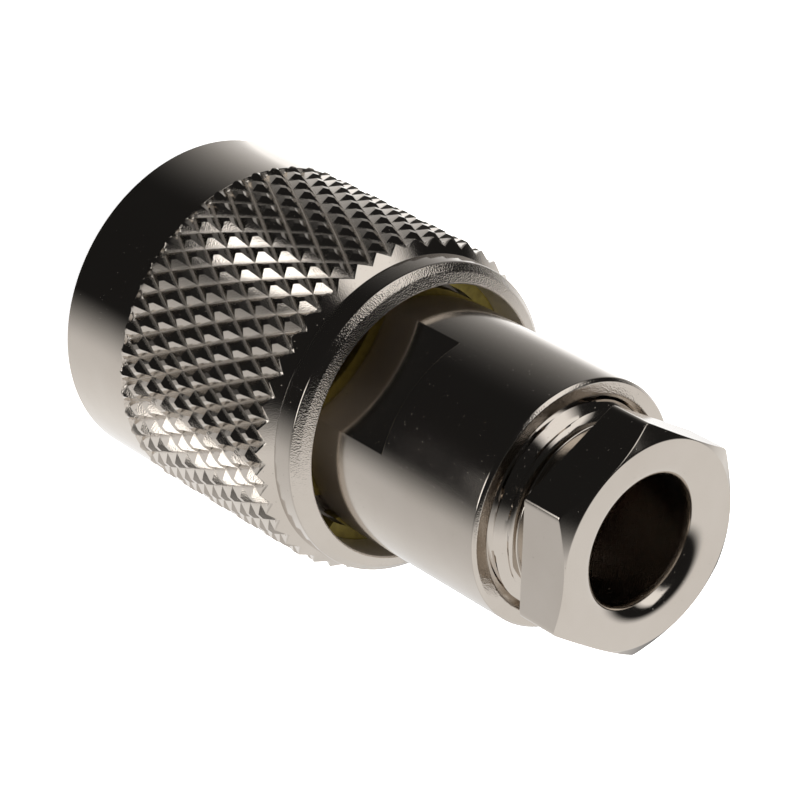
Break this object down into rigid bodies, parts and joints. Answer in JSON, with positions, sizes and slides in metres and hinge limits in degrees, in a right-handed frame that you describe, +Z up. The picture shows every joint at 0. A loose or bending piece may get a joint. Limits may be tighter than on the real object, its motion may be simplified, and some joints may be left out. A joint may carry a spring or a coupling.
{
  "type": "tnc coaxial connector",
  "caption": "Threaded coaxial cable plug with a diamond-knurled coupling nut, a slim body with wrench flats and a hexagon clamp nut that grips the cable.",
  "frame": {"origin": "on the surface the plug stands on, at the centre of the coupling nut's front rim", "axes": "+Z up along the plug's axis towards the cable end, -Y out of one wrench flat"},
  "size_m": [0.0148, 0.0148, 0.0284],
  "materials": {
    "nickel": "polished",
    "bronze": "satin",
    "gold": "polished",
    "ptfe": "satin",
    "silicone": "matte"
  },
  "bodies": {
    "plug": {"plug_body": "nickel", "outer_contact": "nickel", "front_gasket": "silicone", "front_insulator": "ptfe", "centre_contact": "gold", "rear_insulator": "ptfe", "braid_clamp": "nickel", "clamp_gasket": "silicone"},
    "coupling": {"coupling_nut": "nickel", "retaining_ring": "bronze"},
    "clamp_thrust": {"clamp_washer": "nickel"},
    "clamp": {"clamp_nut": "nickel"}
  },
  "joints": [
    {"name": "coupling_turn", "type": "hinge", "parent": "plug", "child": "coupling", "pos_m": [0, 0, 0], "axis": [0, 0, 1], "continuous": true},
    {"name": "clamp_travel", "type": "slide", "parent": "plug", "child": "clamp_thrust", "axis": [0, 0, 1], "range_m": [-0.00175, 0.00195]},
    {"name": "clamp_turn", "type": "hinge", "parent": "clamp_thrust", "child": "clamp", "pos_m": [0, 0, 0], "axis": [0, 0, 1], "range_deg": [-841, 937]}
  ],
  "couplings": [
    {"joint": "clamp_turn", "follows": "clamp_travel", "rad_per_m": 8377.6}
  ]
}
